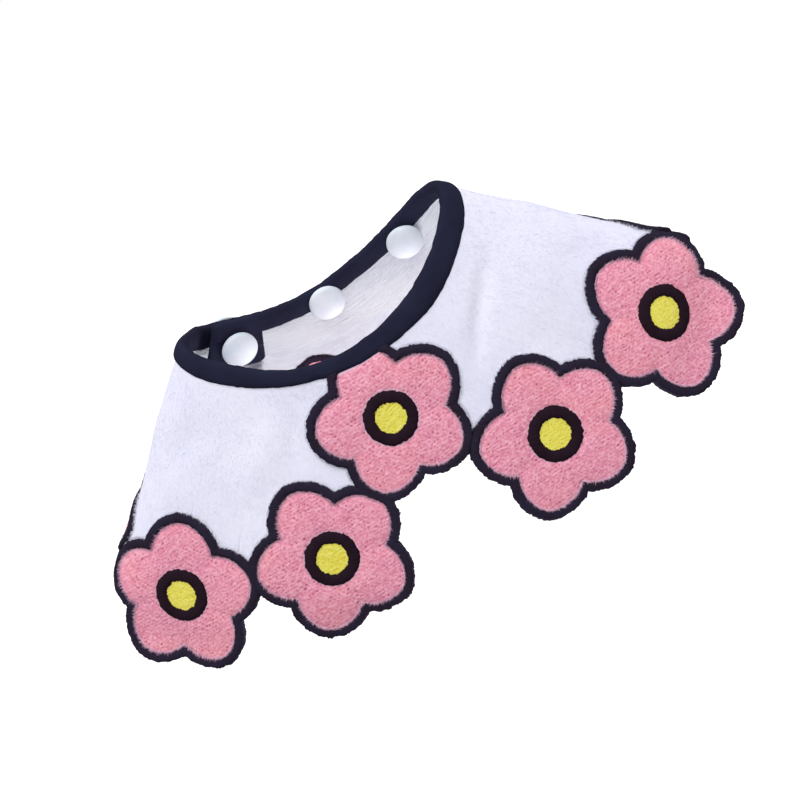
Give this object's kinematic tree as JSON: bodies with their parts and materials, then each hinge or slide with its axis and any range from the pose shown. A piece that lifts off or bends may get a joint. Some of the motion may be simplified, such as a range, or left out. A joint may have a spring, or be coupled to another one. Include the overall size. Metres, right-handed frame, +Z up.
{
  "type": "pet bandana collar",
  "caption": "Soft plush pet bandana collar: an open oval ring with a taped neck, a scalloped hem of embroidered five-petal flowers and a plastic snap closure.",
  "frame": {"origin": "middle of the neck opening, where the wearer's neck holds the collar", "axes": "+Z up along the neck, front towards -Y, +X to the right of the front as it is looked at"},
  "size_m": [0.2229, 0.0889, 0.0998],
  "materials": {
    "plush": "short white plush pile outside, fine looped rib inside",
    "tape": "navy cotton binding tape, matt with a little nap",
    "petals": "pink towel embroidery in slanted stitches",
    "outline": "black purple satin stitch with uneven edges",
    "flower_centre": "yellow towel embroidery",
    "snap": "white moulded plastic, glossy and a little milky"
  },
  "bodies": {
    "root": {"body_cloth": "plush", "end_tab": "tape", "flower_01_centre": "flower_centre", "flower_01_outline": "outline", "flower_01_petals": "petals", "flower_01_ring": "outline", "flower_02_centre": "flower_centre", "flower_02_outline": "outline", "flower_02_petals": "petals", "flower_02_ring": "outline", "flower_03_centre": "flower_centre", "flower_03_outline": "outline", "flower_03_petals": "petals", "flower_03_ring": "outline", "flower_04_centre": "flower_centre", "flower_04_outline": "outline", "flower_04_petals": "petals", "flower_04_ring": "outline", "flower_05_centre": "flower_centre", "flower_05_outline": "outline", "flower_05_petals": "petals", "flower_05_ring": "outline", "flower_06_centre": "flower_centre", "flower_06_outline": "outline", "flower_06_petals": "petals", "flower_06_ring": "outline", "flower_07_centre": "flower_centre", "flower_07_outline": "outline", "flower_07_petals": "petals", "flower_07_ring": "outline", "flower_08_centre": "flower_centre", "flower_08_outline": "outline", "flower_08_petals": "petals", "flower_08_ring": "outline", "flower_09_centre": "flower_centre", "flower_09_outline": "outline", "flower_09_petals": "petals", "flower_09_ring": "outline", "flower_10_centre": "flower_centre", "flower_10_outline": "outline", "flower_10_petals": "petals", "flower_10_ring": "outline", "flower_11_centre": "flower_centre", "flower_11_outline": "outline", "flower_11_petals": "petals", "flower_11_ring": "outline", "neck_tape": "tape", "snap_cap_1": "snap", "snap_cap_2": "snap", "snap_cap_3": "snap", "snap_cap_outer": "snap", "snap_socket_1": "snap", "snap_socket_2": "snap", "snap_socket_3": "snap", "snap_stud": "snap"}
  },
  "joints": []
}
